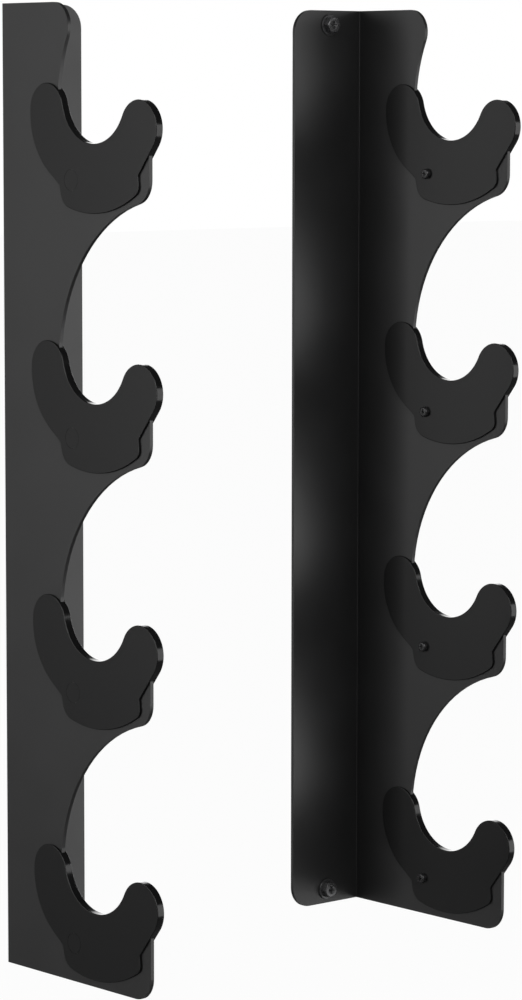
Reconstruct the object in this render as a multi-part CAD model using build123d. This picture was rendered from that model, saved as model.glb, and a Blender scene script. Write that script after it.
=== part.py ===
from build123d import *
from math import asin, atan2, cos, degrees, radians, sin, sqrt
import os

# A pair of mirror-image wall brackets that carry long slim things across four cradles each.
# Millimetres. +X to the right, -Y out of the wall, +Z up. The wall is the plane y = 0, and the
# origin is the centre of the four wall screws on that plane.

# --- Driving dimensions: the brackets -------------------------------------------------------
bracket_height = 500.0        # full height of each bracket
bracket_spacing = 248.5       # outside of one arm plate to outside of the other
arm_reach = 119.0             # wall to the front edge of the arm plate
flange_width = 50.0           # outside of the arm plate to the free edge of the wall flange
sheet = 2.0                   # steel thickness
bend_inside_r = 0.3           # the bend is pressed sharp
bend_outside_r = 0.6
corner_r = 12.0               # every rounded corner of the sheet

# --- Driving dimensions: the cradles --------------------------------------------------------
cradle_count = 4
top_cradle_drop = 45.0        # top of the bracket to the centre of the top cradle
bottom_cradle_rise = 64.25    # bottom of the bracket to the centre of the bottom cradle
hook_depth = 43.0             # cradle centre to the front edge of the arm plate
hook_drop = 43.4              # cradle centre down to the centre of the hook's lower corner
cradle_r = 25.7               # radius of the clad cradle
plate_tip_drop = 17.4         # cradle centre down to the centre of the plate's front tip
hollow_drop = 7.1             # cradle centre down to the centre of the hollow above it

# --- Driving dimensions: the pads -----------------------------------------------------------
pad_skin = 1.1                # pad thickness on each face of the sheet
pad_web = 3.8                 # pad thickness over the edge of the sheet, round the cradle
pad_fit = 0.25                # clearance between the edge of the sheet and the pad's web
pad_edge_r = 0.35             # softened outer rim of a pad
back_tip_r = 13.3
back_tip_angle = 192.9        # direction from the cradle centre to the back tip's centre
front_tip_r = 14.2
front_tip_angle = -26.6
back_edge_r = 37.5            # long convex curve of the pad's back edge
back_edge_turn = -3.5         # direction from the back tip's centre to that curve's centre
back_edge_end = 234.0         # where the curve runs out into the straight to the back notch
notch_straight = 10.4         # length of that straight
lobe_r = 66.3                 # bottom edge of the lower lobe
lobe_centre = (-1.4, 5.7)     # forward of and above the cradle centre
lobe_back_lean = 12.0         # the lobe's back edge, degrees from upright
lobe_front_lean = 7.0         # the lobe's front edge, degrees from upright
front_notch = (35.3, -41.0)   # inside corner of the front notch, from the cradle centre
lobe_back_r = 9.0
lobe_front_r = 5.0
notch_r = 2.0

# --- Driving dimensions: the pad fastenings -------------------------------------------------
clamp_offset = (-18.0, -44.0)  # the screw, from the cradle centre: forward, up
boss_d = 8.0                  # boss of the outer pad that passes through the sheet
boss_clearance = 0.2          # round the boss, in the sheet's hole
insert_flange_d = 10.6
insert_flange = 0.7           # thickness of the insert's flange, flush with the outer pad
insert_barrel_d = 4.6
insert_floor = 0.35           # the insert's closed end, under the screw
insert_clearance = 0.1        # round the insert, in the outer pad
pad_screw_d = 3.0
pad_screw_clearance = 0.1     # round the screw, in the insert and the inner pad
pad_screw_head_d = 5.6
pad_screw_head = 2.4
pad_screw_dome = 0.9          # rounding of the pan head's rim
pad_screw_end_gap = 0.3       # screw tip short of the insert's closed end

# --- Driving dimensions: the wall fixings ---------------------------------------------------
wall_screw_d = 5.0
wall_screw_clearance = 0.25   # round the thread, in the washer and in the flange
wall_screw_neck_d = 4.4       # plain neck under the head, as far as the wall plane
wall_screw_grip = 27.0        # length of the thread and point beyond the wall plane
wall_screw_point = 6.0        # length of the tapered point
wall_screw_tip_d = 0.8
wall_screw_hex = 8.0          # across the flats of the head
wall_screw_head = 3.6
head_crown = 0.5              # the hex head's rim, turned down to a circle
washer_d = 11.5
washer = 1.0                  # washer thickness
washer_edge = 0.2             # softened rim of a washer
fixing_inset = 25.0           # outside of the arm plate to the fixings
fixing_end = 8.0              # end of the bracket to the fixings

# --- Cross recesses of both kinds of screw --------------------------------------------------
wall_recess_span = 4.4
wall_recess_depth = 2.0
pad_recess_span = 2.8
pad_recess_depth = 1.3
recess_slot_share = 0.24      # width of one slot, as a share of the recess's span
recess_bottom_share = 0.45    # size of the recess at its bottom, as a share of its mouth

# --- Heights and lines that the pieces share ------------------------------------------------
top = bracket_height / 2
bottom = -bracket_height / 2
arm_outer_x = bracket_spacing / 2
cradle_reach = arm_reach - hook_depth
cradle_span = bracket_height - top_cradle_drop - bottom_cradle_rise
cradle_pitch = cradle_span / (cradle_count - 1)
cradle_heights = [top - top_cradle_drop - n * cradle_pitch for n in range(cradle_count)]
plate_cradle_r = cradle_r + pad_web

# The plate's front tip, from the cradle centre: tangent to the cradle and to the front edge.
plate_tip_r = (hook_depth**2 + plate_tip_drop**2 - plate_cradle_r**2) / (
    2 * (hook_depth + plate_cradle_r))
plate_tip_centre = (hook_depth - plate_tip_r, -plate_tip_drop)

overcut = 1.0                 # how far a cutting tool runs past the material
FULL_TURN = 360
CLOCKWISE = -1
ANTICLOCKWISE = 1


def polar(centre, radius, degrees):
    """The point at this distance and direction from a centre."""
    angle = radians(degrees)
    return (centre[0] + radius * cos(angle), centre[1] + radius * sin(angle))


def towards(centre, target, radius):
    """The point at this distance from a centre, on the way to a target."""
    reach = (Vector(*target) - Vector(*centre)).normalized() * radius
    return (centre[0] + reach.X, centre[1] + reach.Y)


def bearing(centre, point):
    """The direction of a point from a centre, in degrees."""
    return degrees(atan2(point[1] - centre[1], point[0] - centre[0]))


def arc_round(centre, start, end, turn):
    """An arc round a centre, turning anticlockwise (1) or clockwise (-1) from start to end."""
    first = bearing(centre, start)
    sweep = (bearing(centre, end) - first) * turn % FULL_TURN
    radius = (Vector(*start) - Vector(*centre)).length
    return ThreePointArc(start, polar(centre, radius, first + turn * sweep / 2), end)


def hollow_radius():
    """Radius of the hollow that is tangent to the cradle below and the hook's corner above."""
    ahead = hook_depth - corner_r
    rise = cradle_pitch - hook_drop + hollow_drop
    both = plate_cradle_r + corner_r
    level = plate_cradle_r**2 - hollow_drop**2
    sums = level + ahead**2 + rise**2 - corner_r**2
    square = both**2 - ahead**2
    linear = both * sums - 2 * plate_cradle_r * ahead**2
    constant = sums**2 / 4 - level * ahead**2
    return (linear - sqrt(linear**2 - 4 * square * constant)) / (2 * square)


def hollow_centre(height):
    """Centre of the hollow above the cradle at this height, as (reach, height)."""
    out = sqrt((hollow_r - plate_cradle_r) ** 2 - hollow_drop**2)
    return (cradle_reach + out, height - hollow_drop)


def top_corner_centre():
    """Centre of the rounded corner between the top edge and the topmost hollow."""
    centre = hollow_centre(cradle_heights[0])
    height = top - corner_r
    run = sqrt((hollow_r + corner_r) ** 2 - (height - centre[1]) ** 2)
    return (centre[0] - run, height)


def hook_edge(height):
    """The edge of one cradle in the plate, from the hollow above it to the front edge."""
    centre = (cradle_reach, height)
    tip = (centre[0] + plate_tip_centre[0], centre[1] + plate_tip_centre[1])
    start = towards(hollow_centre(height), centre, hollow_r)
    meet = towards(centre, tip, plate_cradle_r)
    front = (arm_reach, tip[1])
    cradle = arc_round(centre, start, meet, ANTICLOCKWISE)
    over = arc_round(tip, meet, front, CLOCKWISE)
    return start, front, [cradle, over]


hollow_r = hollow_radius()


def plate_outline():
    """The whole outline of the arm plate in its own plane: reach from the wall, height."""
    corner = top_corner_centre()
    at = towards(corner, hollow_centre(cradle_heights[0]), corner_r)
    crest = (corner[0], top)
    edges = [Line((0, top), crest), arc_round(corner, crest, at, CLOCKWISE)]
    for height in cradle_heights:
        start, front, hook = hook_edge(height)
        edges.append(arc_round(hollow_centre(height), at, start, ANTICLOCKWISE))
        edges += hook
        if height == cradle_heights[-1]:
            corner = (arm_reach - corner_r, bottom + corner_r)
            at = (corner[0], bottom)
        else:
            corner = (arm_reach - corner_r, height - hook_drop)
            at = towards(corner, hollow_centre(height - cradle_pitch), corner_r)
        below = (arm_reach, corner[1])
        edges += [Line(front, below), arc_round(corner, below, at, CLOCKWISE)]
    edges += [Line(at, (0, bottom)), Line((0, bottom), (0, top))]
    return make_face(Wire(edges))


def pad_outline():
    """The outline of a pad, from the cradle centre: forward, up."""
    origin = (0, 0)
    back_tip = polar(origin, cradle_r + back_tip_r, back_tip_angle)
    front_tip = polar(origin, cradle_r + front_tip_r, front_tip_angle)
    back_centre = polar(back_tip, back_edge_r - back_tip_r, back_edge_turn)
    back_meet = polar(origin, cradle_r, back_tip_angle)
    front_meet = polar(origin, cradle_r, front_tip_angle)
    tip_end = towards(back_centre, back_tip, back_edge_r)
    back_end = polar(back_centre, back_edge_r, back_edge_end)
    back_notch = polar(back_end, notch_straight, back_edge_end + 90)
    rise = Vector(*front_tip) - Vector(*front_notch)
    heading = degrees(atan2(rise.Y, rise.X) - asin(front_tip_r / rise.length))
    touch = polar(front_notch, sqrt(rise.length**2 - front_tip_r**2), heading)
    lobe_back = lobe_end(back_notch, -90 + lobe_back_lean)
    lobe_front = lobe_end(front_notch, -90 + lobe_front_lean)
    edges = [
        arc_round(origin, back_meet, front_meet, ANTICLOCKWISE),
        arc_round(front_tip, front_meet, touch, CLOCKWISE),
        Line(touch, front_notch),
        Line(front_notch, lobe_front),
        arc_round(lobe_centre, lobe_front, lobe_back, CLOCKWISE),
        Line(lobe_back, back_notch),
        Line(back_notch, back_end),
        arc_round(back_centre, back_end, tip_end, CLOCKWISE),
        arc_round(back_tip, tip_end, back_meet, CLOCKWISE),
    ]
    face = make_face(Wire(edges))
    for point, radius in ((lobe_back, lobe_back_r), (lobe_front, lobe_front_r),
                          (back_notch, notch_r), (front_notch, notch_r)):
        face = fillet(face.vertices().sort_by_distance(point)[0], radius)
    return face


def lobe_end(start, degrees):
    """Where a straight from this point, in this direction, meets the lobe's bottom edge."""
    step = Vector(cos(radians(degrees)), sin(radians(degrees)))
    offset = Vector(*start) - Vector(*lobe_centre)
    along = offset.dot(step)
    run = -along + sqrt(along**2 - offset.length**2 + lobe_r**2)
    return (start[0] + step.X * run, start[1] + step.Y * run)


def stand_up(shape, x):
    """Turn a shape drawn as (reach, height, thickness) to stand at x, out from the wall."""
    turned = shape.rotate(Axis.X, 90).rotate(Axis.Z, -90)
    return turned.moved(Location((x, 0, 0)))


def slab(face, x_from, x_to):
    """A face drawn in the plate's plane, as a solid between two x positions."""
    return stand_up(extrude(face, abs(x_to - x_from), dir=(0, 0, 1)), max(x_from, x_to))


def cross_x(diameter, reach, height, x_from, x_to):
    """A round bar along x at this reach from the wall and this height."""
    disc = make_face(Wire([CenterArc((reach, height), diameter / 2, 0, 360)]))
    return slab(disc, x_from, x_to)


def clamp_places():
    """Where each pad's screw stands: reach from the wall, height."""
    return [(cradle_reach + clamp_offset[0], h + clamp_offset[1]) for h in cradle_heights]


def fixing_places():
    """The wall fixings of the right bracket: x, height."""
    x = arm_outer_x - fixing_inset
    return [(x, top - fixing_end), (x, bottom + fixing_end)]


# All pieces are modelled for the right bracket. Its arm plate is between arm_inner_x and
# arm_outer_x, and its flange runs from there towards the centre of the rack.
arm_inner_x = arm_outer_x - sheet
pad_outer_x = arm_outer_x + pad_skin
pad_inner_x = arm_inner_x - pad_skin
parting_x = arm_outer_x - sheet / 2


def bracket():
    """The bent sheet: arm plate, bend and wall flange, with its holes."""
    arm = slab(plate_outline(), arm_inner_x, arm_outer_x)
    flange_edge = arm_outer_x - flange_width
    flange_box = Pos((arm_outer_x + flange_edge) / 2, -sheet / 2, 0) * Box(
        flange_width, sheet, bracket_height)
    free_corners = flange_box.edges().filter_by(Axis.Y).filter_by_position(
        Axis.X, flange_edge - overcut, flange_edge + overcut)
    flange = fillet(free_corners, corner_r)
    body = arm + flange
    upright = body.edges().filter_by(Axis.Z)
    inside = upright.sort_by_distance((arm_inner_x, -sheet, 0))[0]
    body = fillet(inside, bend_inside_r)
    upright = body.edges().filter_by(Axis.Z)
    outside = upright.sort_by_distance((arm_outer_x, 0, 0))[0]
    body = fillet(outside, bend_outside_r)
    for reach, height in clamp_places():
        body -= cross_x(boss_d + 2 * boss_clearance, reach, height,
                        arm_inner_x - overcut, arm_outer_x + overcut)
    hole_r = wall_screw_d / 2 + wall_screw_clearance
    for x, height in fixing_places():
        drill = Pos(x, -sheet / 2, height) * Rot(90, 0, 0) * Cylinder(hole_r, sheet + 2 * overcut)
        body -= drill
    return body


def pad_space(height):
    """What a pad must leave free for the sheet: the plate, grown by the fit in its own plane."""
    grown = offset(plate_outline(), pad_fit)
    window = Pos(cradle_reach, height) * Rectangle(2 * arm_reach, 2 * cradle_pitch)
    return slab(grown & window, arm_inner_x, arm_outer_x)


def soften(solid, face_x):
    """Round the outer rim of a pad's face."""
    face = solid.faces().filter_by(Axis.X).sort_by_distance((face_x, -cradle_reach, 0))[0]
    return fillet(face.outer_wire().edges(), pad_edge_r)


def pad_blank(height, x_from, x_to, face_x):
    """A pad half as a full slab between the parting plane and its outer face."""
    outline = pad_outline().moved(Location((cradle_reach, height)))
    return soften(slab(outline, x_from, x_to), face_x)


def outer_pad(height, place):
    """The outer half: skin, half the web, and the boss that passes through the sheet."""
    reach, level = place
    body = pad_blank(height, parting_x, pad_outer_x, pad_outer_x) - pad_space(height)
    body += cross_x(boss_d, reach, level, arm_inner_x, pad_outer_x - insert_flange)
    body -= cross_x(insert_flange_d + 2 * insert_clearance, reach, level,
                    pad_outer_x - insert_flange, pad_outer_x + overcut)
    body -= cross_x(insert_barrel_d + 2 * insert_clearance, reach, level,
                    arm_inner_x - overcut, pad_outer_x)
    return body


def inner_pad(height, place):
    """The inner half: skin, half the web, and the screw's hole."""
    reach, level = place
    body = pad_blank(height, pad_inner_x, parting_x, pad_inner_x) - pad_space(height)
    body -= cross_x(pad_screw_d + 2 * pad_screw_clearance, reach, level,
                    pad_inner_x - overcut, arm_inner_x + overcut)
    return body


def recess(span, depth):
    """A cutter for a cross recess, its mouth at z = 0, tapering down."""
    slot = span * recess_slot_share
    mouth = Rectangle(span, slot) + Rectangle(slot, span)
    floor = Pos(0, 0, -depth) * scale(mouth, recess_bottom_share)
    return loft([mouth.face(), floor.face()]) + extrude(mouth, overcut)


def pad_screw():
    """A pan-head screw along z: its bearing face at z = 0, its head above it."""
    length = sheet + 2 * pad_skin - insert_floor - pad_screw_end_gap
    head = Pos(0, 0, pad_screw_head / 2) * Cylinder(pad_screw_head_d / 2, pad_screw_head)
    head = fillet(head.edges().sort_by(Axis.Z)[-1], pad_screw_dome)
    shank = Pos(0, 0, -length / 2) * Cylinder(pad_screw_d / 2, length)
    return head + shank - Pos(0, 0, pad_screw_head) * recess(pad_recess_span, pad_recess_depth)


def insert():
    """A round threaded insert along z: the flange's outer face at z = 0, its barrel below."""
    length = sheet + pad_skin
    bore_r = pad_screw_d / 2 + pad_screw_clearance
    flange = Pos(0, 0, -insert_flange / 2) * Cylinder(insert_flange_d / 2, insert_flange)
    barrel = Pos(0, 0, -length / 2) * Cylinder(insert_barrel_d / 2, length)
    bore = Pos(0, 0, -insert_floor - length / 2) * Cylinder(bore_r, length)
    return flange + barrel - bore


def wall_screw():
    """A hex-head screw along z: its bearing face at z = 0, its head above it."""
    neck = washer + sheet
    straight = wall_screw_grip - wall_screw_point
    blank = extrude(RegularPolygon(wall_screw_hex / 2, 6, major_radius=False), wall_screw_head)
    corner_reach = wall_screw_hex / sqrt(3)
    turned = Pos(0, 0, wall_screw_head / 2) * Cylinder(corner_reach, wall_screw_head)
    turned = chamfer(turned.edges().sort_by(Axis.Z)[-1], head_crown, 1.6 * head_crown)
    shank = Pos(0, 0, -neck / 2) * Cylinder(wall_screw_neck_d / 2, neck)
    shank += Pos(0, 0, -neck - straight / 2) * Cylinder(wall_screw_d / 2, straight)
    point = Pos(0, 0, -neck - straight - wall_screw_point / 2) * Cone(
        wall_screw_tip_d / 2, wall_screw_d / 2, wall_screw_point)
    head = blank & turned
    cutter = Pos(0, 0, wall_screw_head) * recess(wall_recess_span, wall_recess_depth)
    return head + shank + point - cutter


def wall_washer():
    """A plain washer along z, its lower face at z = 0."""
    ring = Pos(0, 0, washer / 2) * Cylinder(washer_d / 2, washer)
    ring = fillet(ring.edges(), washer_edge)
    return ring - Pos(0, 0, washer / 2) * Cylinder(
        wall_screw_d / 2 + wall_screw_clearance, washer + overcut)


def group(shapes):
    """Separate solids in one node."""
    return Compound(children=[shape.solid() for shape in shapes])


def pad_screws():
    """Four screws, heads on the inner pads."""
    return group(Pos(pad_inner_x, -reach, height) * Rot(0, -90, 0) * pad_screw()
                 for reach, height in clamp_places())


def pad_inserts():
    """Four inserts, flanges flush with the outer pads."""
    return group(Pos(pad_outer_x, -reach, height) * Rot(0, 90, 0) * insert()
                 for reach, height in clamp_places())


def wall_screws():
    """Two screws, heads on the washers."""
    return group(Pos(x, -sheet - washer, height) * Rot(90, 0, 0) * wall_screw()
                 for x, height in fixing_places())


def wall_washers():
    """Two washers on the front of the flange."""
    return group(Pos(x, -sheet, height) * Rot(90, 0, 0) * wall_washer()
                 for x, height in fixing_places())


def save_pair(name, shape):
    """Write a piece of the right bracket, and its mirror image for the left one."""
    export_step(shape, f"parts/right_{name}.step")
    export_step(mirror(shape, about=Plane.YZ), f"parts/left_{name}.step")


os.makedirs("parts", exist_ok=True)
save_pair("bracket", bracket())
for number, (height, place) in enumerate(zip(cradle_heights, clamp_places()), start=1):
    save_pair(f"outer_pad_{number}", outer_pad(height, place))
    save_pair(f"inner_pad_{number}", inner_pad(height, place))
save_pair("pad_screws", pad_screws())
save_pair("pad_inserts", pad_inserts())
save_pair("wall_screws", wall_screws())
save_pair("wall_washers", wall_washers())
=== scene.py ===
# %% [markdown]
# # A wall cue rack
# The rack is a pair of bent steel brackets, mirror images of each other. Each arm has four hollows,
# and a moulded pad in two halves lines every hollow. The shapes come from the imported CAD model, which
# is the frame of this scene. What is left to do here is the finish of every surface, the light, the
# camera, and the wall screws, which CAD keeps plain: they get their threads here.

# %% Load the frame
from math import pi, radians, sqrt

import bpy
from mathutils import Matrix, Vector


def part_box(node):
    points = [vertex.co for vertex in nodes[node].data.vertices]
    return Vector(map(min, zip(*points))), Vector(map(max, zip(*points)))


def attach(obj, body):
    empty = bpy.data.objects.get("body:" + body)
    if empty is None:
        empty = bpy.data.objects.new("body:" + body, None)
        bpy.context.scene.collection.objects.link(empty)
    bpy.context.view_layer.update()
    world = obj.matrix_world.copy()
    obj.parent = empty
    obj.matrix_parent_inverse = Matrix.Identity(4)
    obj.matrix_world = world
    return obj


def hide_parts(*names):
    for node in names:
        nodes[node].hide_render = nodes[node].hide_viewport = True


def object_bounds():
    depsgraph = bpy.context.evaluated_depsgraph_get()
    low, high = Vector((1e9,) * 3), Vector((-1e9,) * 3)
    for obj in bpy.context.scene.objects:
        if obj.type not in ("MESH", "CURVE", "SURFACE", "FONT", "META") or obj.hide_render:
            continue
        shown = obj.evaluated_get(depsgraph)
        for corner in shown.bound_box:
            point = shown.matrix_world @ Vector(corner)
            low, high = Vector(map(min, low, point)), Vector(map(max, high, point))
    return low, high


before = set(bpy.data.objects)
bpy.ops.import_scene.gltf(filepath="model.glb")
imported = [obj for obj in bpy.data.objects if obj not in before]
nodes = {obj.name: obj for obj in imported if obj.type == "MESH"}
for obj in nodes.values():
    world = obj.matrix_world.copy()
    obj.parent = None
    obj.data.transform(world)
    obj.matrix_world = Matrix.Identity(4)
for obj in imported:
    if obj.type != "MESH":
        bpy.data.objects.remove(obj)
cad_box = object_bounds()
scene = bpy.context.scene
mm = 0.001
print("CAD pieces:", len(nodes), "box in metres:", cad_box)

# %% [markdown]
# ## The camera
# The rack is seen from the left and a little above, from about two metres, through a long lens, so
# that the two brackets keep nearly the same size. The place and the three turns follow from the
# perspective of the brackets' edges, and are written here as plain values.

# %% Camera
camera_place = Vector((-1.2787, -1.5321, 0.2022))
camera_yaw = radians(-40.971)
camera_tilt = radians(90 - 6.192)
camera_roll = radians(0.067)
camera_data = bpy.data.cameras.new("camera")
camera_data.sensor_width = 36
camera_data.lens = 133.5
camera_data.clip_end = 100
camera = bpy.data.objects.new("camera", camera_data)
scene.collection.objects.link(camera)
turn = Matrix.Rotation(camera_yaw, 3, "Z") @ Matrix.Rotation(camera_tilt, 3, "X")
turn = turn @ Matrix.Rotation(camera_roll, 3, "Z")
camera.location = camera_place
camera.rotation_euler = turn.to_euler()
scene.camera = camera
print("camera at", tuple(camera_place), "lens", camera_data.lens, "mm")

# %% [markdown]
# ## The room
# A dark satin object shows mostly what it reflects, so the room matters more than the lamps. The room
# is light at the height of the eye and dark overhead, as in a studio with paper walls and a black
# ceiling. That makes upright faces read as soft grey, and leaves edges that look up nearly black. The
# camera itself sees plain white paper.

# %% Room
scene.view_settings.view_transform = "Standard"


def empty_tree(owner, output_kind):
    """The node tree of a material or a world with nothing but its output in it."""
    owner.use_nodes = True
    owner.node_tree.nodes.clear()
    return owner.node_tree, owner.node_tree.nodes.new(output_kind)


def seen_straight(tree):
    """1 for rays from the camera or through glass, 0 for the rays that light and reflect."""
    path = tree.nodes.new("ShaderNodeLightPath")
    either = tree.nodes.new("ShaderNodeMath")
    either.operation = "MAXIMUM"
    tree.links.new(path.outputs["Is Camera Ray"], either.inputs[0])
    tree.links.new(path.outputs["Is Transmission Ray"], either.inputs[1])
    return either.outputs[0]


room = bpy.data.worlds.new("room")
scene.world = room
tree, output = empty_tree(room, "ShaderNodeOutputWorld")
direction = tree.nodes.new("ShaderNodeTexCoord")
parts = tree.nodes.new("ShaderNodeSeparateXYZ")
tree.links.new(direction.outputs["Generated"], parts.inputs[0])
height = tree.nodes.new("ShaderNodeMapRange")
height.inputs["From Min"].default_value = -1
height.inputs["From Max"].default_value = 1
tree.links.new(parts.outputs["Z"], height.inputs["Value"])
wall = tree.nodes.new("ShaderNodeValToRGB")
room_levels = ((0.0, 0.10), (0.42, 0.20), (0.50, 0.28), (0.58, 0.28), (0.68, 0.06), (1.0, 0.04))
for _ in range(len(room_levels) - 2):
    wall.color_ramp.elements.new(0.5)
for stop, (place, level) in zip(wall.color_ramp.elements, room_levels):
    stop.position = place
    stop.color = (level, level, level, 1)
tree.links.new(height.outputs["Result"], wall.inputs["Fac"])
light = tree.nodes.new("ShaderNodeBackground")
tree.links.new(wall.outputs["Color"], light.inputs["Color"])
paper = tree.nodes.new("ShaderNodeBackground")
paper.inputs["Color"].default_value = (1, 1, 1, 1)
choose = tree.nodes.new("ShaderNodeMixShader")
tree.links.new(seen_straight(tree), choose.inputs[0])
tree.links.new(light.outputs[0], choose.inputs[1])
tree.links.new(paper.outputs[0], choose.inputs[2])
tree.links.new(choose.outputs[0], output.inputs["Surface"])
print("room levels from straight down to straight up:", room_levels)

# %% [markdown]
# ## The floor
# The rack hangs on a wall, so the floor is a metre below it. A plane of white paper is enough. Most
# of what the camera sees of it is its own plain white, and the rest is real light, so that a shadow
# still shows. Reflections see it as pale as the room, out to where the lamps no longer reach.

# %% Floor
floor_drop = 1.0
floor_glow = 0.97
floor_reflected = 0.14
bpy.ops.object.select_all(action="DESELECT")
bpy.ops.mesh.primitive_plane_add(size=60, location=(0, 0, cad_box[0][2] - floor_drop))
floor = bpy.context.object
floor.name = "floor"
floor_paper = bpy.data.materials.new("floor_paper")
tree, output = empty_tree(floor_paper, "ShaderNodeOutputMaterial")
lit = tree.nodes.new("ShaderNodeBsdfDiffuse")
lit.inputs["Color"].default_value = (0.8, 0.8, 0.8, 1)
glow = tree.nodes.new("ShaderNodeEmission")
glow.inputs["Color"].default_value = (1, 1, 1, 1)
share = tree.nodes.new("ShaderNodeMath")
share.operation = "MULTIPLY"
share.inputs[1].default_value = floor_glow
tree.links.new(seen_straight(tree), share.inputs[0])
choose = tree.nodes.new("ShaderNodeMixShader")
tree.links.new(share.outputs[0], choose.inputs[0])
tree.links.new(lit.outputs[0], choose.inputs[1])
tree.links.new(glow.outputs[0], choose.inputs[2])
pale = tree.nodes.new("ShaderNodeEmission")
pale.inputs["Strength"].default_value = floor_reflected
path = tree.nodes.new("ShaderNodeLightPath")
reflected = tree.nodes.new("ShaderNodeMixShader")
tree.links.new(path.outputs["Is Glossy Ray"], reflected.inputs[0])
tree.links.new(choose.outputs[0], reflected.inputs[1])
tree.links.new(pale.outputs[0], reflected.inputs[2])
tree.links.new(reflected.outputs[0], output.inputs["Surface"])
floor.data.materials.append(floor_paper)
print("floor at", round(cad_box[0][2] - floor_drop, 3))

# %% [markdown]
# ## The lamps
# A wide panel stands in front and to the right. The wall flanges look straight at it, so they come
# out lighter than the arms, and the hooks shade the right flange in soft waves. A second panel, to
# the left and a little behind, lights the arms, and leaves the corner of each bend dark. A third, at
# the back, lights the faces that look away from the camera, and one lamp at the front fills what the
# panels leave. A lamp overhead lights by diffusion only: in reflections it would burn a highlight into
# every edge, so it is kept out of them.

# %% Lamps


def lamp(name, place, aim, size, power, reflected=True):
    """A soft rectangular lamp at a place, turned to face a point."""
    data = bpy.data.lights.new(name, "AREA")
    data.shape = "RECTANGLE"
    data.size, data.size_y = size
    data.energy = power
    made = bpy.data.objects.new(name, data)
    scene.collection.objects.link(made)
    made.location = place
    made.rotation_euler = (Vector(aim) - Vector(place)).to_track_quat("-Z", "Y").to_euler()
    made.visible_glossy = reflected
    made.visible_camera = False
    return made


lamp("panel_right", (1.6, -2.8, -0.35), (0, 0, -0.2), (3.0, 2.5), 52)
lamp("panel_left", (-2.85, 1.12, 0.25), (0, 0, 0), (2.3, 1.8), 40)
lamp("panel_back", (2.2, 2.2, 0.3), (0, 0, 0), (4.4, 2.2), 60)
lamp("front_left", (-1.5, -2.4, 1.6), (0, 0, 0), (2.0, 2.0), 52)
lamp("overhead", (-0.3, -0.6, 2.6), (0, 0, 0), (2.0, 2.0), 25, reflected=False)

# %% [markdown]
# ## Helpers for the finishes
# Every finish is one Principled shader. Its colour, gloss and relief come from noise in Object
# coordinates. All pieces have their place in their mesh, so these coordinates are metres and a grain
# of half a millimetre is the same size on every piece.

# %% Finish helpers


def new_finish(name):
    """A material with one Principled shader, and its Object coordinates."""
    made = bpy.data.materials.new(name)
    tree, output = empty_tree(made, "ShaderNodeOutputMaterial")
    body = tree.nodes.new("ShaderNodeBsdfPrincipled")
    tree.links.new(body.outputs[0], output.inputs["Surface"])
    return made, tree, body, tree.nodes.new("ShaderNodeTexCoord").outputs["Object"]


def noise(tree, place, grain, detail=2.0):
    """Noise whose grains are this size in metres."""
    made = tree.nodes.new("ShaderNodeTexNoise")
    made.inputs["Scale"].default_value = 1 / grain
    made.inputs["Detail"].default_value = detail
    tree.links.new(place, made.inputs["Vector"])
    return made.outputs["Fac"]


def spread(tree, value, low, high, from_low=0.3, from_high=0.7):
    """The value stretched to run from low to high."""
    made = tree.nodes.new("ShaderNodeMapRange")
    made.inputs["From Min"].default_value = from_low
    made.inputs["From Max"].default_value = from_high
    made.inputs["To Min"].default_value = low
    made.inputs["To Max"].default_value = high
    tree.links.new(value, made.inputs["Value"])
    return made.outputs["Result"]


def between(tree, value, dark, light):
    """A colour between two greys."""
    made = tree.nodes.new("ShaderNodeMix")
    made.data_type = "RGBA"
    made.inputs["A"].default_value = (dark, dark, dark, 1)
    made.inputs["B"].default_value = (light, light, light * 1.03, 1)
    tree.links.new(value, made.inputs["Factor"])
    return made.outputs["Result"]


def relief(tree, body, value, height):
    """Move the surface by this height in metres where the value is 1."""
    made = tree.nodes.new("ShaderNodeBump")
    made.inputs["Distance"].default_value = height
    tree.links.new(value, made.inputs["Height"])
    tree.links.new(made.outputs["Normal"], body.inputs["Normal"])


print("finish helpers ready")

# %% [markdown]
# ## Powder coat
# The sheet is sprayed with black powder, which is baked to a satin skin. The skin has a fine orange
# peel of about half a millimetre, which breaks reflections up, and broad, faint differences in gloss.

# %% Powder coat
peel_grain = 0.55 * mm
peel_height = 0.012 * mm
gloss_patch = 30 * mm
powder, tree, body, place = new_finish("powder_coat")
peel = noise(tree, place, peel_grain)
cloud = noise(tree, place, gloss_patch)
tree.links.new(between(tree, cloud, 0.0080, 0.0100), body.inputs["Base Color"])
tree.links.new(spread(tree, cloud, 0.36, 0.40), body.inputs["Roughness"])
relief(tree, body, peel, peel_height)
body.inputs["Specular IOR Level"].default_value = 0.5
print("powder coat: grain", peel_grain, "m")

# %% [markdown]
# ## Pad plastic
# The pads are moulded. Their broad faces have a fine, dull mould texture, while the rims and the
# cradle that touches the cue are polished. A face looks along X on this rack, so the part of the
# normal that points along X tells faces from rims.

# %% Pad plastic
mould_grain = 0.35 * mm
fine_height = 0.004 * mm
plastic, tree, body, place = new_finish("pad_plastic")
grain = noise(tree, place, mould_grain)
normal = tree.nodes.new("ShaderNodeNewGeometry")
axes = tree.nodes.new("ShaderNodeSeparateXYZ")
tree.links.new(normal.outputs["True Normal"], axes.inputs[0])
side = tree.nodes.new("ShaderNodeMath")
side.operation = "ABSOLUTE"
tree.links.new(axes.outputs["X"], side.inputs[0])
tree.links.new(between(tree, grain, 0.0035, 0.0050), body.inputs["Base Color"])
tree.links.new(spread(tree, side.outputs[0], 0.16, 0.30, 0.75, 0.98), body.inputs["Roughness"])
relief(tree, body, grain, fine_height)
body.inputs["Specular IOR Level"].default_value = 0.33
print("pad plastic: dull faces, polished rims")

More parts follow.
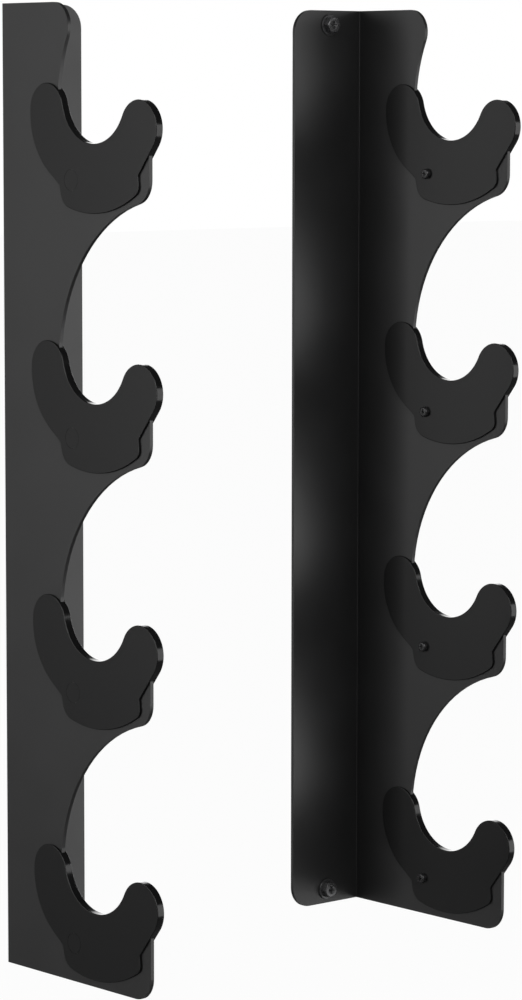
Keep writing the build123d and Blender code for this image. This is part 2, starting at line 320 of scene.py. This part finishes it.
# %% [markdown]
# ## Blackened steel
# Screws and washers are blackened steel. The black is thin: edges and high spots look a
# little greyer, and the metal under it gives tighter reflections than the powder coat.

# %% Blackened steel


def blackened(name, dark, light, dull, bright, grain_size):
    """Steel with a thin black finish."""
    made, tree, body, place = new_finish(name)
    worn = noise(tree, place, grain_size, 4.0)
    tree.links.new(between(tree, worn, dark, light), body.inputs["Base Color"])
    tree.links.new(spread(tree, worn, bright, dull), body.inputs["Roughness"])
    relief(tree, body, worn, fine_height)
    body.inputs["Metallic"].default_value = 0.7
    return made


wall_screw_black = blackened("wall_screw_black", 0.06, 0.11, 0.34, 0.22, 0.8 * mm)
washer_black = blackened("washer_black", 0.05, 0.08, 0.36, 0.26, 0.8 * mm)
pad_screw_black = blackened("pad_screw_black", 0.03, 0.06, 0.32, 0.22, 0.6 * mm)
print("steel finishes:", wall_screw_black.name, washer_black.name, pad_screw_black.name)

# %% [markdown]
# ## Insert coating
# The insert's flange lies flush in the outer pad and is coated to match it, so that all that shows is
# the fine ring round it. It takes the dullness of the pad's face, with a grain of its own.

# %% Insert coating
insert_black, tree, body, place = new_finish("insert_black")
coating = noise(tree, place, 0.5 * mm)
tree.links.new(between(tree, coating, 0.0035, 0.0050), body.inputs["Base Color"])
tree.links.new(spread(tree, coating, 0.28, 0.33), body.inputs["Roughness"])
relief(tree, body, coating, fine_height)
body.inputs["Specular IOR Level"].default_value = 0.33
print("insert coating:", insert_black.name)

# %% [markdown]
# ## Give the CAD pieces their finishes
# The CAD shapes of the brackets, the pads, the washers, the pad screws and the inserts are right as
# they are, so each keeps its mesh and only takes a finish.

# %% Finishes on the CAD pieces
finish_of = {
    "bracket": powder,
    "outer_pad": plastic,
    "inner_pad": plastic,
    "wall_washers": washer_black,
    "wall_screws": wall_screw_black,
    "pad_screws": pad_screw_black,
    "pad_inserts": insert_black,
}
for name, node in nodes.items():
    piece = name.split("_", 1)[1].rstrip("_1234")
    for material_slot in node.material_slots:
        material_slot.material = finish_of[piece]
    print(name, "->", finish_of[piece].name)

# %% [markdown]
# ## Wall screws: the head
# Each bracket hangs on two hexagon screws. The head is cut from a hexagon bar, and its top is turned,
# so the six corners are rounded off under a small cone. Here the hexagon is intersected with a round
# blank that has that cone, which gives the same curved cuts as the lathe does.

# %% Screw head
head_across = 8.0 * mm
head_height = 3.6 * mm
crown = 0.5 * mm
crown_run = 0.8 * mm
corner_r = head_across / sqrt(3)
blank_spare = 1.001


def add_bar(name, sides, radius, low, high, turned=0.0):
    """An upright bar between two heights, ready to be shaped."""
    bpy.ops.object.select_all(action="DESELECT")
    bpy.ops.mesh.primitive_cylinder_add(
        vertices=sides, radius=radius, depth=high - low,
        location=(0, 0, (low + high) / 2), rotation=(0, 0, turned))
    bar = bpy.context.object
    bar.name = name
    bpy.ops.object.transform_apply(location=True, rotation=True, scale=True)
    return bar


def select_flat_face(piece, height):
    """Enter edit mode with only the level faces at this height selected."""
    bpy.ops.object.mode_set(mode="EDIT")
    bpy.ops.mesh.select_mode(type="FACE")
    bpy.ops.mesh.select_all(action="DESELECT")
    bpy.ops.object.mode_set(mode="OBJECT")
    for face in piece.data.polygons:
        face.select = abs(face.center.z - height) < 0.01 * mm and abs(face.normal.z) > 0.99
    bpy.ops.object.mode_set(mode="EDIT")


def draw_out(piece, height, rise, shrink):
    """Extrude the level face at this height, and shrink its new end."""
    select_flat_face(piece, height)
    bpy.ops.mesh.extrude_region_move(TRANSFORM_OT_translate={"value": (0, 0, rise)})
    bpy.ops.transform.resize(value=(shrink, shrink, 1))
    bpy.ops.object.mode_set(mode="OBJECT")


def cut(piece, tool, operation):
    """Apply a boolean with a tool, then throw the tool away."""
    bpy.ops.object.select_all(action="DESELECT")
    bpy.context.view_layer.objects.active = piece
    piece.select_set(True)
    step = piece.modifiers.new("cut", "BOOLEAN")
    step.object = tool
    step.operation = operation
    step.solver = "EXACT"
    bpy.ops.object.modifier_apply(modifier=step.name)
    bpy.data.objects.remove(tool)


screw = add_bar("screw", 6, corner_r, 0, head_height, radians(30))
blank = add_bar("blank", 64, corner_r * blank_spare, -crown, head_height - crown)
draw_out(blank, head_height - crown, crown, 1 - crown_run / corner_r)
cut(screw, blank, "INTERSECT")
print("screw head faces:", len(screw.data.polygons))

# %% [markdown]
# ## Wall screws: the cross recess
# The driver's recess is two crossed slots that narrow towards the bottom. A slot's cutter is a block
# whose lower face is made smaller. It starts above the head, so that the cut is clean at the top.

# %% Cross recess
recess_span = 4.4 * mm
recess_slot = 1.06 * mm
recess_depth = 2.0 * mm
recess_bottom = 0.45


def slot_cutter(span, width, depth, bottom, top):
    """A block of this span and width that tapers down from the top of a head."""
    bpy.ops.object.select_all(action="DESELECT")
    bpy.ops.mesh.primitive_cube_add(size=1, location=(0, 0, top + depth / 2))
    block = bpy.context.object
    block.scale = (span, width, depth)
    bpy.ops.object.transform_apply(location=True, rotation=True, scale=True)
    draw_out(block, top, -depth, bottom)
    return block


for span, width in ((recess_span, recess_slot), (recess_slot, recess_span)):
    cutter = slot_cutter(span, width, recess_depth, recess_bottom, head_height)
    cut(screw, cutter, "DIFFERENCE")
print("with the recess:", len(screw.data.polygons), "faces")

# %% [markdown]
# ## Wall screws: softened edges
# No machined edge is quite sharp. A narrow bevel gives every edge of the head a thin line of light,
# which is what makes such a small part read as steel.

# %% Softened edges
edge_width = 0.09 * mm
sharp_from = radians(25)
soften = screw.modifiers.new("soften", "BEVEL")
soften.width = edge_width
soften.segments = 2
soften.limit_method = "ANGLE"
soften.angle_limit = sharp_from
bpy.ops.object.select_all(action="DESELECT")
bpy.context.view_layer.objects.active = screw
screw.select_set(True)
bpy.ops.object.modifier_apply(modifier=soften.name)
print("softened head:", len(screw.data.polygons), "faces")

# %% [markdown]
# ## Wall screws: shank and thread
# A plain neck passes through the washer and the flange. The core behind it ends in a point, and one
# ridge winds round it. The ridge is a small frame, wide at its root and narrow at its crest, which
# the Screw modifier carries down the axis. Towards the point it winds in with the core.

# %% Shank and thread
neck_r = 2.2 * mm
core_r = 1.75 * mm
crest_r = 2.5 * mm
thread_pitch = 2.2 * mm
neck_end = -3.0 * mm
neck_taper = 0.4 * mm
head_overlap = 0.2 * mm
point_start = -24.0 * mm
screw_end = -30.0 * mm
thread_start = -4.4 * mm
thread_turns = 11
crest_share = 0.22
tip_share = 0.12

neck = add_bar("neck", 48, neck_r, neck_end, head_overlap)
draw_out(neck, neck_end, -neck_taper, core_r / neck_r)
core = add_bar("core", 48, core_r, point_start, neck_end)
draw_out(core, point_start, screw_end - point_start, tip_share)

root = core_r - 0.1 * mm
bpy.ops.object.select_all(action="DESELECT")
bpy.ops.mesh.primitive_plane_add(
    size=crest_r - root, location=((crest_r + root) / 2, 0, thread_start), rotation=(pi / 2, 0, 0))
ridge = bpy.context.object
bpy.ops.object.transform_apply(location=True, rotation=True, scale=True)
bpy.ops.object.mode_set(mode="EDIT")
bpy.ops.mesh.select_all(action="SELECT")
bpy.ops.mesh.delete(type="ONLY_FACE")
bpy.ops.mesh.select_mode(type="VERT")
bpy.ops.mesh.select_all(action="DESELECT")
bpy.ops.object.mode_set(mode="OBJECT")
for corner in ridge.data.vertices:
    corner.select = corner.co.x > (crest_r + root) / 2
bpy.ops.object.mode_set(mode="EDIT")
bpy.ops.transform.resize(value=(1, 1, crest_share))
bpy.ops.object.mode_set(mode="OBJECT")
wind = ridge.modifiers.new("wind", "SCREW")
wind.axis = "Z"
wind.screw_offset = -thread_pitch
wind.iterations = thread_turns
wind.steps = 32
wind.render_steps = 32
wind.use_merge_vertices = True
wind.merge_threshold = 0.001 * mm
bpy.ops.object.modifier_apply(modifier=wind.name)
bpy.ops.object.mode_set(mode="EDIT")
bpy.ops.mesh.select_all(action="SELECT")
bpy.ops.mesh.fill_holes(sides=4)
bpy.ops.mesh.normals_make_consistent(inside=False)
bpy.ops.object.mode_set(mode="OBJECT")
for corner in ridge.data.vertices:
    past = (point_start - corner.co.z) / (point_start - screw_end)
    if past > 0:
        narrow = max(tip_share, 1 - (1 - tip_share) * past)
        corner.co.x *= narrow
        corner.co.y *= narrow
print("thread:", thread_turns, "turns,", len(ridge.data.polygons), "faces")

# %% [markdown]
# ## Wall screws: four of them
# The parts are joined into one screw. Each bracket takes two copies with their own mesh. The heads
# bear on the washers, and the box of the CAD screws gives their places. The copies stand for the
# plain CAD screws.

# %% Place the screws


def join(pieces, name):
    """Several pieces as one."""
    bpy.ops.object.select_all(action="DESELECT")
    for piece in pieces:
        piece.select_set(True)
    bpy.context.view_layer.objects.active = pieces[0]
    bpy.ops.object.join()
    bpy.context.object.name = name
    return bpy.context.object


screw = join([screw, neck, core, ridge], "screw")
screw.data.materials.append(wall_screw_black)
bpy.ops.object.shade_smooth_by_angle(angle=radians(32))
outward = Matrix.Rotation(pi / 2, 4, "X")
for side in ("left", "right"):
    low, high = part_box(side + "_wall_screws")
    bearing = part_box(side + "_wall_washers")[0].y
    copies = []
    for level in (low.z + head_across / 2, high.z - head_across / 2):
        copy = screw.copy()
        copy.data = screw.data.copy()
        scene.collection.objects.link(copy)
        spot = Matrix.Translation(((low.x + high.x) / 2, bearing, level))
        copy.data.transform(spot @ outward)
        copies.append(copy)
    pair = join(copies, side + "_threaded_screws")
    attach(pair, "root")
    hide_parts(side + "_wall_screws")
    print(pair.name, len(pair.data.polygons), "faces")
bpy.data.objects.remove(screw)
